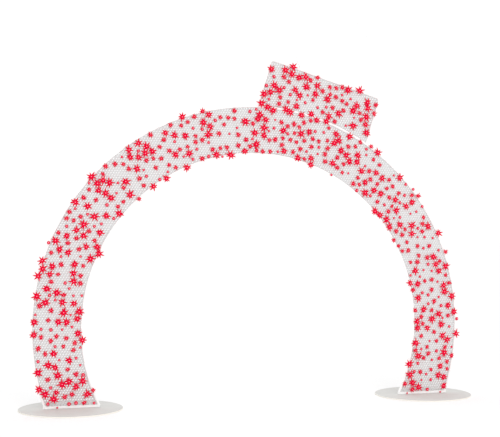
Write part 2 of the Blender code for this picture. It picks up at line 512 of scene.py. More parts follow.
class PieceMesh:
    """Corners and faces gathered for one piece."""

    def __init__(self) -> None:
        """Starts with nothing."""
        self.corners: list[np.ndarray] = []
        self.faces: list[Face] = []
        self.looks: list[int] = []
        self.count = 0

    def add(self, corners: np.ndarray, faces: Sequence[Face], look: int = 0) -> None:
        """Adds one closed body.

        Args:
            corners: Its corners, whose last axis is X, Y and Z.
            faces: The corners of each face, counted from the body's first.
            look: The place of its material among the piece's.
        """
        self.corners.append(np.asarray(corners, float).reshape(-1, 3))
        self.faces.extend(tuple(corner + self.count for corner in face) for face in faces)
        self.looks.extend([look] * len(faces))
        self.count += len(self.corners[-1])

    def piece(
        self, name: str, materials: Sequence[bpy.types.Material], slot: Slot, sharp: float
    ) -> bpy.types.Object:
        """Makes the object, shades it smooth and lets it ride on the arch.

        Args:
            name: The piece's name.
            materials: Its materials, in the order that the faces count them.
            slot: The record's slot for its finish, which isn't used.
            sharp: The angle, in degrees, past which an edge stays sharp.

        Returns:
            The object.
        """
        mesh = bpy.data.meshes.new(name)
        mesh.from_pydata(np.concatenate(self.corners).tolist(), [], self.faces)
        mesh.validate()
        for material in materials:
            mesh.materials.append(material)
        mesh.polygons.foreach_set("material_index", self.looks)
        mesh.shade_smooth()
        mesh.set_sharp_from_angle(angle=math.radians(sharp))
        thing = bpy.data.objects.new(name, mesh)
        bpy.context.scene.collection.objects.link(thing)
        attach(thing, BODY)
        return thing


@dataclass(frozen=True)
class ArchPlan:
    """The arch's driving sizes in its own plane, and the curves that follow from them."""

    net_outer: float = 2.200
    net_inner: float = 1.745
    tube: float = 0.0125
    gap: float = 0.0003
    ring_height: float = 0.770
    cap_tilt: float = math.radians(16.9)
    cap_width: float = 1.206
    cap_top: float = 2.620
    cap_bend: float = 0.030
    least_bend: float = 0.001
    loop_radius: float = 0.406
    loop_reach: float = 2.939
    tolerance: float = 0.002

    @property
    def outer_line(self) -> float:
        """The radius of the outer tube's centreline."""
        return self.net_outer + self.gap + self.tube

    @property
    def inner_line(self) -> float:
        """The radius of the inner tube's centreline."""
        return self.net_inner - self.gap - self.tube

    @property
    def cap_side_line(self) -> float:
        """How far the centrelines of the cap's side tubes are from its axis."""
        return self.cap_width / 2 + self.gap + self.tube

    @property
    def cap_top_line(self) -> float:
        """How far along its axis the centreline of the cap's top tube is."""
        return self.cap_top + self.gap + self.tube

    @property
    def cap_foot(self) -> float:
        """The radius of the arc that the cap's net ends on."""
        return self.outer_line + self.tube + self.gap

    @cached_property
    def foot_level(self) -> float:
        """The level that the tubes and the net end at, just over the foot bars."""
        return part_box("foot_bar_left")[1].z + self.gap

    @cached_property
    def plate_top(self) -> float:
        """The level of the base plates' upper faces."""
        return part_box("base_plate_left")[1].z

    def check_frame(self) -> None:
        """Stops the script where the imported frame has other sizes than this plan."""
        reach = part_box("outer_tube")[1].x
        cap_low, cap_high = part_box("cap_frame")
        corner = self.cap_point(-self.cap_side_line, self.cap_top_line)[0]
        as_wide = abs(reach - self.outer_line - self.tube) <= self.tolerance
        if not (as_wide and cap_low.x < corner < cap_high.x):
            raise ValueError("the packed frame isn't the arch that this plan describes")

    def ring_point(self, radius: float | np.ndarray, angle: float | np.ndarray) -> np.ndarray:
        """X and Z at a radius and at an angle, from +X towards +Z, about the ring's centre."""
        return np.stack((radius * np.cos(angle), self.ring_height + radius * np.sin(angle)), -1)

    def cap_point(self, side: float | np.ndarray, reach: float | np.ndarray) -> np.ndarray:
        """X and Z at some metres across the cap's axis, and along it from the ring's centre."""
        sine, cosine = math.sin(self.cap_tilt), math.cos(self.cap_tilt)
        return np.stack((side * cosine + reach * sine, self.ring_height - side * sine + reach * cosine), -1)

    def on_cap(self, points: np.ndarray) -> tuple[np.ndarray, np.ndarray]:
        """Finds how far across and along the cap's axis some points are.

        Args:
            points: Their X and Z along the last axis.

        Returns:
            Metres across the axis, and metres along it from the ring's centre.
        """
        sine, cosine = math.sin(self.cap_tilt), math.cos(self.cap_tilt)
        x, z = points[..., 0], points[..., 1] - self.ring_height
        return x * cosine - z * sine, x * sine + z * cosine

    def from_centre(self, points: np.ndarray) -> np.ndarray:
        """How far some points are from the ring's centre."""
        return np.hypot(points[..., 0], points[..., 1] - self.ring_height)

    def foot_angle(self, radius: float, level: float) -> float:
        """How far below the horizontal a circle about the ring's centre meets a level."""
        return math.asin((self.ring_height - level) / radius)

    def arc(self, radius: float, level: float, steps: int) -> Line:
        """Points over the arch in equal steps, from where it meets a level on the left to the right."""
        foot = self.foot_angle(radius, level)
        return self.ring_point(radius, np.linspace(math.pi + foot, -foot, steps + 1))

    def cap_edge(self, inset: float, bend_steps: int) -> Line:
        """Draws the line round the cap's corners from left to right, inside its tube's centreline.

        Args:
            inset: How far inside the centreline it runs.
            bend_steps: How many steps each bend has.

        Returns:
            The points.
        """
        radius = max(self.cap_bend - inset, self.least_bend)
        side = self.cap_side_line - inset - radius
        reach = self.cap_top_line - inset - radius
        turn = np.linspace(0.0, math.pi / 2, bend_steps + 1)
        left = self.cap_point(-side - radius * np.cos(turn), reach + radius * np.sin(turn))
        right = self.cap_point(side + radius * np.sin(turn), reach + radius * np.cos(turn))
        return np.concatenate((left, right))

    def band_depth(self, points: np.ndarray) -> np.ndarray:
        """Finds how far inside the arch net's outline some points are.

        Args:
            points: Their X and Z along the last axis.

        Returns:
            Metres from the nearest edge, below zero outside it.
        """
        radius = self.from_centre(points)
        ring = np.minimum(self.net_outer - radius, radius - self.net_inner)
        return np.minimum(ring, points[..., 1] - self.foot_level)

    def cap_depth(self, points: np.ndarray) -> np.ndarray:
        """Finds how far inside the cap net's outline some points are.

        Args:
            points: Their X and Z along the last axis.

        Returns:
            Metres from the nearest edge, below zero outside it.
        """
        side, reach = self.on_cap(points)
        corner = self.cap_bend - self.tube - self.gap
        out_side = np.abs(side) - self.cap_width / 2 + corner
        out_top = reach - self.cap_top + corner
        beyond = np.hypot(np.maximum(out_side, 0.0), np.maximum(out_top, 0.0))
        box = corner - beyond - np.minimum(np.maximum(out_side, out_top), 0.0)
        return np.minimum(box, self.from_centre(points) - self.cap_foot)


@dataclass
class RoundTube:
    """A round tube along a line in the arch's plane, with closed ends."""

    line: Line
    radius: float
    sides: int = 20

    def build(
        self, mesh: PieceMesh, seat: Callable[[Line, np.ndarray], Line]
    ) -> tuple[np.ndarray, np.ndarray]:
        """Adds the tube to a mesh.

        Args:
            mesh: The mesh that it joins.
            seat: Moves an end's corners to what the tube stands on, given their X and Z and their Y.

        Returns:
            The corners of the first and the last ring, as X, Y and Z.
        """
        ways = np.gradient(self.line, axis=0)
        ways /= np.linalg.norm(ways, axis=1)[:, None]
        across = np.stack((-ways[:, 1], ways[:, 0]), -1)
        turn = turns(self.sides)
        out, depth = self.radius * np.cos(turn), self.radius * np.sin(turn)
        plane = self.line[:, None, :] + across[:, None, :] * out[None, :, None]
        for end in (0, -1):
            plane[end] = seat(plane[end], depth)
        corners = np.empty((len(self.line), self.sides, 3))
        corners[..., 0] = plane[..., 0]
        corners[..., 1] = depth
        corners[..., 2] = plane[..., 1]
        mesh.add(corners, ring_faces(len(self.line), self.sides, flipped=True))
        return corners[0], corners[-1]


@dataclass
class WeldBead:
    """A thin bead of weld round the foot of a tube."""

    contour: np.ndarray
    radius: float = 0.0022
    sides: int = 6

    def build(self, mesh: PieceMesh) -> None:
        """Adds the bead to a mesh.

        Args:
            mesh: The mesh that it joins.
        """
        ways = np.roll(self.contour, -1, axis=0) - np.roll(self.contour, 1, axis=0)
        ways /= np.linalg.norm(ways, axis=1)[:, None]
        outward = self.contour - self.contour.mean(axis=0)
        outward -= ways * np.sum(outward * ways, axis=1)[:, None]
        outward /= np.linalg.norm(outward, axis=1)[:, None]
        third = np.cross(ways, outward)
        turn = turns(self.sides)[None, :, None]
        ring = outward[:, None, :] * np.cos(turn) + third[:, None, :] * np.sin(turn)
        corners = self.contour[:, None, :] + self.radius * ring
        mesh.add(corners, ring_faces(len(self.contour), self.sides, joined=True))


@dataclass
class TubeFrame:
    """The white tubes: both ring tubes, the cap's frame and the hanging loop, over the CAD's own."""

    plan: ArchPlan
    ring_steps: int = 320
    loop_steps: int = 120
    bend_steps: int = 12
    straight_steps: int = 8
    sharp: float = 50.0

    def dress(self, coat: bpy.types.Material) -> None:
        """Builds the tubes and coats them and the foot bars.

        Args:
            coat: Their powder coat.
        """
        outer, inner = (
            self.plan.arc(radius, self.plan.foot_level, self.ring_steps)
            for radius in (self.plan.outer_line, self.plan.inner_line)
        )
        for name, node, line, seat in (
            ("outer_ring", "outer_tube", outer, self._cut_flat),
            ("inner_ring", "inner_tube", inner, self._cut_flat),
            ("cap_tubes", "cap_frame", self._cap_line(), self._cope_on_ring),
            ("loop_ring", "hanging_loop", self._loop_line(), self._cope_on_cap),
        ):
            mesh = PieceMesh()
            for contour in RoundTube(line, self.plan.tube).build(mesh, seat):
                WeldBead(contour).build(mesh)
            piece = mesh.piece(name, [coat], Slot.TUBE, self.sharp)
            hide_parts(node)
            LOG.info("%s: %d faces", name, len(mesh.faces))
        for name in ("foot_bar_left", "foot_bar_right"):
            dress_node(name, coat)

    def _cap_line(self) -> Line:
        """Draws the centreline of the cap's tube, from its left foot on the ring to its right foot.

        Returns:
            X and Z along the last axis.
        """
        plan = self.plan
        edge = plan.cap_edge(0.0, self.bend_steps)
        reach = math.sqrt(plan.outer_line**2 - plan.cap_side_line**2)
        left, right = (plan.cap_point(side * plan.cap_side_line, reach) for side in (-1, 1))
        share = np.linspace(0.0, 1.0, self.straight_steps, endpoint=False)[:, None]
        rise = left + (edge[0] - left) * share
        fall = right + (edge[-1] - right) * share[::-1]
        half = len(edge) // 2
        top = edge[half - 1] + (edge[half] - edge[half - 1]) * share[1:]
        return np.concatenate((rise, edge[:half], top, edge[half:], fall))

    def _loop_line(self) -> Line:
        """Draws the centreline of the hanging loop, from the cap's top tube round and back to it.

        The point next to each end is left out, so that the slanted cut at the end has room.

        Returns:
            X and Z along the last axis.
        """
        plan = self.plan
        drop = math.asin((plan.loop_reach - plan.cap_top_line) / plan.loop_radius)
        angle = np.delete(np.linspace(math.pi + drop, -drop, self.loop_steps + 1), (1, -2))
        side = plan.loop_radius * np.cos(angle)
        return plan.cap_point(side, plan.loop_reach + plan.loop_radius * np.sin(angle))

    def _cut_flat(self, ring: Line, depth: np.ndarray) -> Line:
        """Slides a ring of corners along its tube to the level that the foot bars lie under.

        Args:
            ring: The corners' X and Z.
            depth: Their Y, which a flat cut doesn't need.

        Returns:
            The moved X and Z.
        """
        radius = self.plan.from_centre(ring)
        angle = np.arcsin((self.plan.ring_height - self.plan.foot_level) / radius)
        side = np.sign(ring[:, 0])
        return np.stack((side * radius * np.cos(angle), np.full(len(ring), self.plan.foot_level)), -1)

    def _seat(self, line: float, depth: np.ndarray) -> np.ndarray:
        """How far out the surface of a tube is whose centreline is at a reach, at some depths."""
        return line + np.sqrt(np.maximum((self.plan.tube + self.plan.gap) ** 2 - depth**2, 0.0))

    def _cope_on_ring(self, ring: Line, depth: np.ndarray) -> Line:
        """Slides a ring of corners along the cap's axis to the outer tube's surface.

        Args:
            ring: The corners' X and Z.
            depth: Their Y.

        Returns:
            The moved X and Z.
        """
        seat = self._seat(self.plan.outer_line, depth)
        side, _ = self.plan.on_cap(ring)
        return self.plan.cap_point(side, np.sqrt(seat**2 - side**2))

    def _cope_on_cap(self, ring: Line, depth: np.ndarray) -> Line:
        """Slides a ring of corners round the loop to the surface of the cap's top tube.

        Args:
            ring: The corners' X and Z.
            depth: Their Y.

        Returns:
            The moved X and Z.
        """
        plan = self.plan
        side, reach = plan.on_cap(ring)
        seat = self._seat(plan.cap_top_line, depth)
        radius = np.hypot(side, reach - plan.loop_reach)
        moved = np.sqrt(radius**2 - (plan.loop_reach - seat) ** 2)
        return plan.cap_point(np.sign(side) * moved, seat)


class CordBody:
    """The cords of a net as one closed body, whose corners come in pairs, front and back."""

    def __init__(self, thickness: float) -> None:
        """Starts with nothing.

        Args:
            thickness: How thick the cords are.
        """
        self.sides = (-thickness / 2, thickness / 2)
        self.corners: list[np.ndarray] = []
        self.faces: list[Face] = []

    def add_pair(self, place: np.ndarray) -> int:
        """Adds a front and a back corner at an X and Z, and gives the front one's number."""
        self.corners.extend(np.array((place[0], side, place[1])) for side in self.sides)
        return len(self.corners) - 2

    def place(self, corner: int) -> np.ndarray:
        """The X and Z of a corner."""
        return self.corners[corner][[0, 2]]

    def _faces_forward(self, ring: Sequence[int]) -> bool:
        """Whether a ring of corners turns so that its face looks to the front."""
        points = [self.corners[corner] for corner in ring]
        return sum(a[0] * b[2] - b[0] * a[2] for a, b in zip(points, points[1:] + points[:1])) > 0

    def add_lid(self, ring: list[int]) -> None:
        """Adds the front and the back face over a ring of corners.

        Args:
            ring: The front corners.
        """
        if not self._faces_forward(ring):
            ring = ring[::-1]
        self.faces.append(tuple(ring))
        self.faces.append(tuple(corner + 1 for corner in reversed(ring)))

    def add_cord(self, near: list[int], far: list[int], closed: bool) -> None:
        """Adds a cord's faces.

        Args:
            near: The front corners at its near end, one for each cell beside it.
            far: The same at its far end.
            closed: Whether its far end is closed off.
        """
        if not self._faces_forward([near[0], near[1], far[1], far[0]]):
            near, far = near[::-1], far[::-1]
        self.add_lid([near[0], near[1], far[1], far[0]])
        self.faces.append((near[1], near[1] + 1, far[1] + 1, far[1]))
        self.faces.append((far[0], far[0] + 1, near[0] + 1, near[0]))
        if closed:
            self.faces.append((far[1], far[1] + 1, far[0] + 1, far[0]))


@dataclass
class HexNet:
    """One sheet of net with hexagonal cells in level rows, and a hem along its edge."""

    name: str
    node: str
    depth: Callable[[np.ndarray], np.ndarray]
    hem: Callable[[float], Line]
    low: tuple[float, float]
    high: tuple[float, float]
    flat: tuple[float, float]
    area: float
    rests_on: tuple[str, ...]
    pitch: float = 0.0267
    hole_share: float = 0.465
    stretch_angle: float = math.radians(43.0)
    stretch: float = 1.50
    squeeze: float = 0.66
    thickness: float = 0.0024
    hem_width: float = 0.0055
    hem_thickness: float = 0.0030
    spare_cells: int = 2
    knot_margin: float = 0.0016
    cut_depth: float = 0.0008
    end_share: float = 0.5
    least_run: float = 0.03
    run_halvings: int = 12
    sharp: float = 180.0

    @property
    def row(self) -> float:
        """The height of a row of cells."""
        return self.pitch * math.sqrt(3) / 2

    @property
    def cell_reach(self) -> float:
        """How far a cell's corners are from its middle."""
        return self.pitch / math.sqrt(3)

    @cached_property
    def from_knot(self) -> np.ndarray:
        """Turns the way from a knot to a cell's middle into the way to the corner of the cell's hole.

        The holes are drawn out along one slanting line, as in a net that is pulled on the bias.

        Returns:
            A matrix for X and Z.
        """
        along = np.array((math.cos(self.stretch_angle), math.sin(self.stretch_angle)))
        drawn = self.squeeze * np.eye(2) + (self.stretch - self.squeeze) * np.outer(along, along)
        return np.eye(2) - self.hole_share * drawn

    def centre(self, cell: Cell) -> np.ndarray:
        """The middle of a cell, given its half-steps across and its row."""
        return np.array((cell[0] * self.pitch / 2, cell[1] * self.row))

    def knot(self, cell: Cell, up: int) -> np.ndarray:
        """The lower or the upper corner of a cell, where three cords meet."""
        return self.centre(cell) + (0.0, up * self.cell_reach)

    def nearest_knot(self, point: np.ndarray) -> np.ndarray:
        """Finds the knot of the net that is nearest to a point.

        Args:
            point: X and Z.

        Returns:
            The knot's X and Z.
        """
        row = round(point[1] / self.row)
        across = round(2 * point[0] / self.pitch)
        near = [
            self.knot((across + step, row + rise), up)
            for rise in (-1, 0, 1)
            for step in (-1, 0, 1)
            if (across + step + row + rise) % 2 == 0
            for up in (-1, 1)
        ]
        return min(near, key=lambda knot: float(np.hypot(*(knot - point))))

    @staticmethod
    def cells_round(cell: Cell, up: int) -> tuple[Cell, Cell, Cell]:
        """The three cells that meet at the lower or the upper corner of a cell."""
        across, row = cell
        return (cell, (across - 1, row + up), (across + 1, row + up))

    def build(self, material: bpy.types.Material) -> None:
        """Builds the sheet in place of its CAD node.

        Args:
            material: The cord's finish.
        """
        mesh = PieceMesh()
        self._add_cells(mesh)
        self._add_hem(mesh)
        piece = mesh.piece(self.name, [material], Slot.NET, self.sharp)
        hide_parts(self.node)
        LOG.info("%s: %d faces", self.name, len(mesh.faces))

    def _span(self, axis: int, step: float) -> range:
        """The whole steps over the sheet along X or Z, with some to spare on both sides."""
        low, high = int(self.low[axis] / step), int(self.high[axis] / step)
        return range(low - self.spare_cells, high + self.spare_cells + 1)

    def _knots(self) -> dict[Knot, np.ndarray]:
        """Finds the knots inside the outline.

        Returns:
            X and Z of each knot, by its cell and the cell's lower or upper corner.
        """
        keys = [
            (step, row, up)
            for row in self._span(1, self.row)
            for step in self._span(0, self.pitch / 2)
            if (step + row) % 2 == 0
            for up in (-1, 1)
        ]
        places = np.array([self.knot(key[:2], key[2]) for key in keys])
        inside = self.depth(places) > self.knot_margin
        return {key: place for key, place, kept in zip(keys, places, inside) if kept}

    def _add_cells(self, mesh: PieceMesh) -> None:
        """Adds the knots and the cords between them as one closed body.

        Args:
            mesh: The mesh that it joins.
        """
        knots = self._knots()
        body = CordBody(self.thickness)
        first: dict[tuple[Knot, Cell], int] = {}
        for key, place in knots.items():
            cells = self.cells_round(key[:2], key[2])
            for cell in cells:
                first[key, cell] = body.add_pair(self._run(place, self._corner(place, cell)))
            body.add_lid([first[key, cell] for cell in cells])
        for key, far_key, cells in self._cords(knots):
            near = [first[key, cell] for cell in cells]
            if far_key in knots:
                far = [first[far_key, cell] for cell in cells]
            else:
                place = self.knot(far_key[:2], far_key[2])
                ends = [self._corner(place, cell, self.end_share) for cell in cells]
                far = [body.add_pair(self._run(body.place(start), end)) for start, end in zip(near, ends)]
            body.add_cord(near, far, closed=far_key not in knots)
        mesh.add(np.array(body.corners), body.faces)

    def _cords(self, knots: dict[Knot, np.ndarray]) -> list[tuple[Knot, Knot, tuple[Cell, Cell]]]:
        """Lists each cord once.

        Args:
            knots: The knots inside the outline.

        Returns:
            The knot that each cord starts from, the knot it runs to, and the cells beside it.
        """
        cords = []
        for step, row, up in knots:
            here, left, right = self.cells_round((step, row), up)
            ends = {(step, row + 2 * up): (left, right), left: (here, left), right: (here, right)}
            for cell, beside in ends.items():
                far_key = (*cell, -up)
                if up < 0 or far_key not in knots:
                    cords.append(((step, row, up), far_key, beside))
        return cords

    def _corner(self, place: np.ndarray, cell: Cell, share: float = 1.0) -> np.ndarray:
        """The corner of a cell's hole at a knot, or a point a share of the way from the knot to it."""
        return place + share * (self.from_knot @ (self.centre(cell) - place))

    def _run(self, start: np.ndarray, end: np.ndarray) -> np.ndarray:
        """Runs from a point to another, and stops short where it comes to the sheet's edge.

        Args:
            start: X and Z of the first point.
            end: X and Z of the second.

        Returns:
            X and Z of the second point, or else of a place under the hem.
        """
        if self.depth(end) > self.cut_depth:
            return end
        inside, outside = 0.0, 1.0
        for _ in range(self.run_halvings):
            middle = (inside + outside) / 2
            if self.depth(start + (end - start) * middle) > self.cut_depth:
                inside = middle
            else:
                outside = middle
        return start + (end - start) * max(inside, self.least_run)

    def _add_hem(self, mesh: PieceMesh) -> None:
        """Adds the flat hem that runs round the outline and takes up the cut cords.

        Args:
            mesh: The mesh that it joins.
        """
        outer, inner = self.hem(0.0), self.hem(self.hem_width)
        half = self.hem_thickness / 2
        edges = ((outer, -half), (inner, -half), (inner, half), (outer, half))
        corners = np.empty((len(edges), len(outer), 3))
        for place, (loop, depth) in enumerate(edges):
            corners[place, :, 0] = loop[:, 0]
            corners[place, :, 1] = depth
            corners[place, :, 2] = loop[:, 1]
        mesh.add(corners, ring_faces(len(edges), len(outer), flipped=True, joined=True))


@dataclass
class Nets:
    """The arch's net and the cap's net."""

    plan: ArchPlan
    arc_steps: int = 300
    edge_steps: int = 60
    bend_steps: int = 8

    def arch_net(self) -> HexNet:
        """Lays out the horseshoe-shaped sheet, with the sizes of the band that it is when laid out
        straight.

        Returns:
            The sheet, which isn't built yet.
        """
        plan = self.plan
        width = plan.net_outer - plan.net_inner
        middle = (plan.net_outer + plan.net_inner) / 2
        length = middle * (math.pi + 2 * plan.foot_angle(middle, plan.foot_level))
        side = plan.net_outer
        return HexNet(
            name="arch_netting",
            node="arch_net",
            depth=plan.band_depth,
            hem=self._arch_hem,
            low=(-side, plan.foot_level),
            high=(side, plan.ring_height + side),
            flat=(width, length),
            area=width * length,
            rests_on=("outer_ring", "inner_ring", "foot_bar_left", "foot_bar_right"),
        )

    def cap_net(self) -> HexNet:
        """Lays out the cap's sheet, a rectangle with its lower edge cut to the ring's outer tube.

        Returns:
            The sheet, which isn't built yet.
        """
        plan = self.plan
        low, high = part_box("cap_net")
        side = plan.cap_width / 2
        segment = math.asin(side / plan.cap_foot) * plan.cap_foot**2
        lowest = math.sqrt(plan.cap_foot**2 - side**2)
        under_arc = segment + side * lowest
        return HexNet(
            name="cap_netting",
            node="cap_net",
            depth=plan.cap_depth,
            hem=self._cap_hem,
            low=(low.x, low.z),
            high=(high.x, high.z),
            flat=(plan.cap_width, plan.cap_top - lowest),
            area=plan.cap_width * plan.cap_top - under_arc,
            rests_on=("cap_tubes", "outer_ring"),
        )

    def _arch_hem(self, inset: float) -> Line:
        """Draws the closed line inside the arch net's outline.

        Args:
            inset: How far inside it runs.

        Returns:
            X and Z along the last axis.
        """
        level = self.plan.foot_level + inset
        outer = self.plan.arc(self.plan.net_outer - inset, level, self.arc_steps)
        inner = self.plan.arc(self.plan.net_inner + inset, level, self.arc_steps)
        return np.concatenate((outer, inner[::-1]))

    def _cap_hem(self, inset: float) -> Line:
        """Draws the closed line inside the cap net's outline.

        Args:
            inset: How far inside it runs.

        Returns:
            X and Z along the last axis.
        """
        plan = self.plan
        edge = plan.cap_edge(plan.tube + plan.gap + inset, self.bend_steps)
        radius = plan.cap_foot + inset
        side = np.linspace(1.0, -1.0, self.edge_steps) * (plan.cap_width / 2 - inset)
        foot = plan.cap_point(side, np.sqrt(radius**2 - side**2))
        return np.concatenate((edge, foot))


@dataclass
class LightSite:
    """Where one light sits, and how large and how far turned it is."""

    place: np.ndarray
    seat: float
    reach: float
    turn: float
    kind: LightKind
    level: int = 0


@dataclass(frozen=True)
class Bowl:
    """A low dome on a light: its size, how far out its foot is, and its look."""

    radius: float
    height: float
    base: float
    look: Look
    glow: tuple[float, float]
    sides: int = 18
    steps: tuple[float, ...] = (0.0, 25.0, 50.0, 75.0)


class LightMesh(PieceMesh):
    """A mesh of many lights, which also holds how bright each corner is."""

    GLOW = "glow"
    SHARP = 60.0

    def __init__(self) -> None:
        """Starts with nothing."""
        super().__init__()
        self.glow: list[float] = []

    def add_lit(self, corners: np.ndarray, faces: Sequence[Face], look: Look, glow: np.ndarray) -> None:
        """Adds one closed body, the look of its faces and the brightness of its corners, from 0 to 1."""
        self.add(corners, faces, look.value)
        self.glow.extend(glow.tolist())

    def light_piece(self, name: str, materials: Sequence[bpy.types.Material]) -> bpy.types.Object:
        """Makes the object and stores the brightness on its corners.

        Args:
            name: The piece's name.
            materials: One for each look, in the order of the looks.

        Returns:
            The object.
        """
        thing = self.piece(name, materials, Slot.LIGHT, self.SHARP)
        layer = thing.data.attributes.new(self.GLOW, "FLOAT", "POINT")
        layer.data.foreach_set("value", self.glow)
        return thing


@dataclass
class Starburst:
    """The moulded form of a light: a stem, a low round hub, tapered rays and a lit dome."""

    rays: int = 8
    fewer_share: float = 0.3
    shortest: float = 0.68
    jitter: float = 0.16
    small_scale: float = 0.72
    base: float = 0.016
    level_step: float = 0.009
    ray_width: float = 0.0205
    ray_height: float = 0.0065
    tip_height: float = 0.25
    tip_dimming: float = 0.75

    # A glow is the brightness at a dome's foot and at its top. The hub's height and the lit dome's
    # rise are shares of the rays' height.
    hub: float = 0.0190
    hub_height: float = 1.25
    hub_sink: float = 0.0008
    hub_glow: tuple[float, float] = (0.75, 1.0)
    dome: float = 0.0044
    dome_rise: float = 0.95
    dome_glow: tuple[float, float] = (0.3, 1.0)
    dome_sides: int = 12

    # A small round light. The frosted dome and the crown have a radius and a height, and the crown
    # a rise, as shares of the light's reach.
    collar: float = 0.0035
    collar_glow: tuple[float, float] = (0.0, 0.4)
    frosted: tuple[float, float] = (0.8, 0.7)
    frosted_glow: tuple[float, float] = (0.0, 1.0)
    crown: tuple[float, float] = (0.26, 0.16)
    crown_rise: float = 0.64
    crown_glow: tuple[float, float] = (0.2, 1.0)

    # The stem, whose radius is a share smaller on all but the largest lights.
    stem: float = 0.009
    small_stem: float = 0.7
    stem_taper: float = 0.85
    stem_sink: float = 0.001
    stem_sides: int = 12

    # Along a ray: the share of its length, and its width there as a share of its full width.
    STATIONS = ((0.12, 1.0), (0.42, 0.80), (0.75, 0.50), (1.0, 0.10))
    # Across a ray: the share of its width from its middle, and the share of its height.
    SECTION = ((-0.5, 0.0), (-0.36, 0.68), (0.0, 1.0), (0.36, 0.68), (0.5, 0.0))

    def build(self, mesh: LightMesh, site: LightSite, chance: random.Random) -> None:
        """Adds one light to a mesh.

        Args:
            mesh: The mesh that it joins.
            site: Where it sits.
            chance: Where the uneven lengths and angles of its rays come from.
        """
        base = self.base + site.level * self.level_step
        self._stem(mesh, site, base)
        if site.kind is LightKind.DOT:
            self._cap(mesh, site, base)
        else:
            self._burst(mesh, site, base, chance)

    def _cap(self, mesh: LightMesh, site: LightSite, base: float) -> None:
        """Adds a small round light: a collar, a frosted dome and a pale crown.

        Args:
            mesh: The mesh that it joins.
            site: Where it sits.
            base: How far in front of its seat it stands.
        """
        reach = site.reach
        inside = base + self.collar / 2
        radius, height = (share * reach for share in self.frosted)
        crown_radius, crown_height = (share * reach for share in self.crown)
        crown_base = inside + self.crown_rise * reach
        for bowl in (
            Bowl(reach, self.collar, base, Look.PLASTIC, self.collar_glow),
            Bowl(radius, height, inside, Look.FROSTED, self.frosted_glow),
            Bowl(crown_radius, crown_height, crown_base, Look.DOME, self.crown_glow, self.dome_sides),
        ):
            self._bowl(mesh, site, bowl)

    def _burst(self, mesh: LightMesh, site: LightSite, base: float, chance: random.Random) -> None:
        """Adds a starburst: uneven rays, a hub over their roots and a lit dome.

        Args:
            mesh: The mesh that it joins.
            site: Where it sits.
            base: How far in front of its seat it stands.
            chance: Where the uneven lengths and angles of its rays come from.
        """
        scale = 1.0 if site.kind is LightKind.STAR else self.small_scale
        rays = self.rays - (site.kind is LightKind.STAR and chance.random() < self.fewer_share)
        for ray in range(rays):
            angle = site.turn + 2 * math.pi * ray / rays + chance.uniform(-self.jitter, self.jitter)
            length = site.reach * (1.0 if ray == 0 else chance.uniform(self.shortest, 1.0))
            self._ray(mesh, site, angle, length, self.ray_width * scale, base)
        height, dome = self.ray_height * scale, self.dome * scale
        hub_height, hub_base = self.hub_height * height, base - self.hub_sink
        dome_base = base + self.dome_rise * height
        for bowl in (
            Bowl(self.hub * scale, hub_height, hub_base, Look.PLASTIC, self.hub_glow),
            Bowl(dome, dome, dome_base, Look.DOME, self.dome_glow, self.dome_sides),
        ):
            self._bowl(mesh, site, bowl)

    def _at(self, site: LightSite, along: np.ndarray, across: np.ndarray, out: np.ndarray) -> np.ndarray:
        """X, Y and Z of points, given their X and Z from a light's middle and how far out they are."""
        return np.stack((site.place[0] + along, -site.seat - out, site.place[1] + across), -1)

    def _ray(
        self, mesh: LightMesh, site: LightSite, angle: float, length: float, width: float, base: float
    ) -> None:
        """Adds one tapered ray with a rounded back and a flat underside.

        Args:
            mesh: The mesh that it joins.
            site: Where its light sits.
            angle: The way it points, in radians.
            length: Its length from the light's middle.
            width: Its width at its root.
            base: How far in front of the seat it stands.
        """
        section = np.array(self.SECTION)
        share, taper = np.array(self.STATIONS).T[:, :, None]
        along, side = length * share, section[:, 0] * width * taper
        out = base + section[:, 1] * self.ray_height * (self.tip_height + (1.0 - self.tip_height) * taper)
        glow = np.repeat(1.0 - self.tip_dimming * share.ravel(), len(section))
        x = along * math.cos(angle) - side * math.sin(angle)
        z = along * math.sin(angle) + side * math.cos(angle)
        faces = ring_faces(len(self.STATIONS), len(section))
        mesh.add_lit(self._at(site, x, z, out), [face[::-1] for face in faces], Look.PLASTIC, glow)

    def _bowl(self, mesh: LightMesh, site: LightSite, bowl: Bowl) -> None:
        """Adds a low dome that is closed underneath.

        Args:
            mesh: The mesh that it joins.
            site: Where the light sits.
            bowl: The dome's sizes and look.
        """
        turn = turns(bowl.sides)
        rise = np.radians(bowl.steps)[:, None]
        dim, bright = bowl.glow
        x = bowl.radius * np.cos(rise) * np.cos(turn)
        z = bowl.radius * np.cos(rise) * np.sin(turn)
        out = np.repeat(bowl.base + bowl.height * np.sin(rise), bowl.sides, axis=1)
        glow = np.repeat(dim + (bright - dim) * np.sin(rise.ravel()), bowl.sides)
        faces = ring_faces(len(bowl.steps), bowl.sides)
        mesh.add_lit(self._at(site, x, z, out), faces, bowl.look, glow)

    def _stem(self, mesh: LightMesh, site: LightSite, base: float) -> None:
        """Adds the round stem between the seat and the back of the light.

        Args:
            mesh: The mesh that it joins.
            site: Where the light sits.
            base: How far in front of the seat the light stands.
        """
        radius = self.stem if site.kind is LightKind.STAR else self.stem * self.small_stem
        turn = turns(self.stem_sides)
        radii = np.array(((radius,), (self.stem_taper * radius,)))
        x, z = radii * np.cos(turn), radii * np.sin(turn)
        out = np.repeat(((0.0,), (base + self.stem_sink,)), self.stem_sides, axis=1)
        glow = np.zeros(2 * self.stem_sides)
        mesh.add_lit(self._at(site, x, z, out), ring_faces(2, self.stem_sides), Look.STEM, glow)


